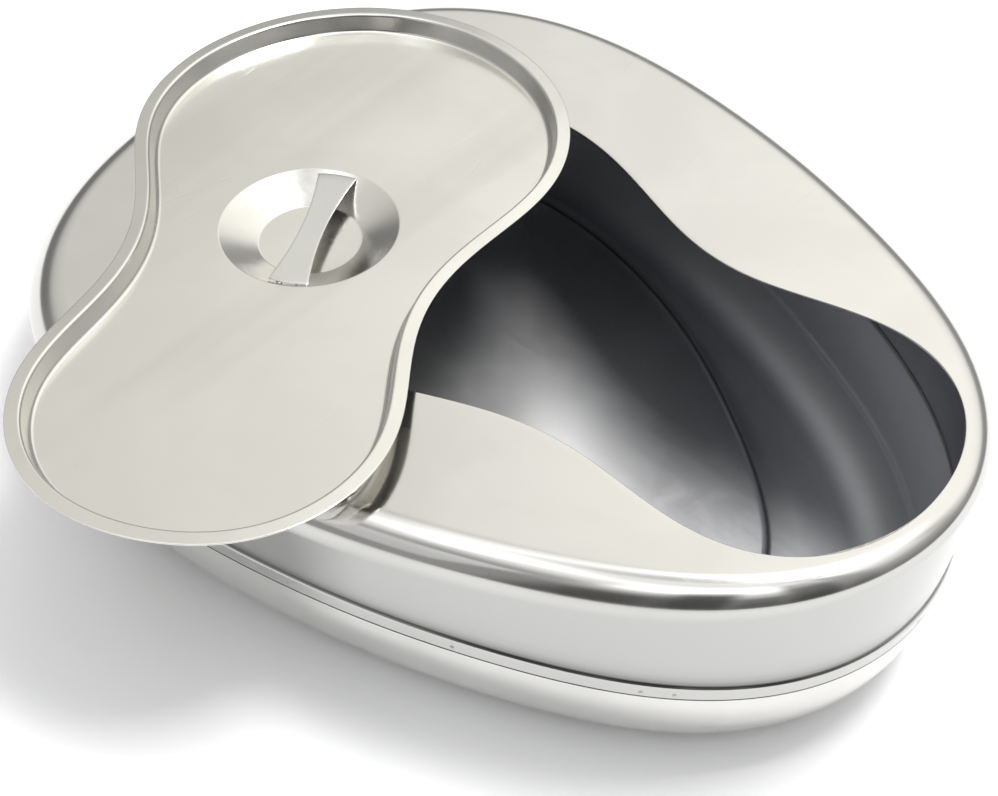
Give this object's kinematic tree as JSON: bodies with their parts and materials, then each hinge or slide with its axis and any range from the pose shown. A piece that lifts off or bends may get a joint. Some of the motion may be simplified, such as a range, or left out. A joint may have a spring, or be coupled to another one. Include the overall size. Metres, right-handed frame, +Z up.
{
  "type": "bedpan",
  "caption": "Egg-shaped stainless steel bedpan with a sloping rolled-edge top, a waisted seat opening and a loose pressed tray lid with a recessed grip strap.",
  "frame": {"origin": "in the base plane, on the pan's long axis and near the middle of its length", "axes": "+Z up, +X along the pan towards its high narrow end, +Y across it"},
  "size_m": [0.3506, 0.3179, 0.1063],
  "materials": {
    "top_shell_steel": "polished stainless",
    "bottom_shell_steel": "polished stainless outside, duller inside",
    "lid_steel": "soft polished stainless",
    "strap_steel": "satin stainless",
    "weld_metal": "ground weld"
  },
  "bodies": {
    "pan": {"top_shell": "top_shell_steel", "bottom_shell": "bottom_shell_steel", "seam_bead": "weld_metal", "seam_spots": "weld_metal"},
    "lid": {"lid_tray": "lid_steel", "grip_strap": "strap_steel", "grip_spots": "weld_metal"}
  },
  "joints": [
    {"name": "lid_lift", "type": "slide", "parent": "pan", "child": "lid", "axis": [0, 0, 1], "range_m": [0, 0.08]}
  ]
}
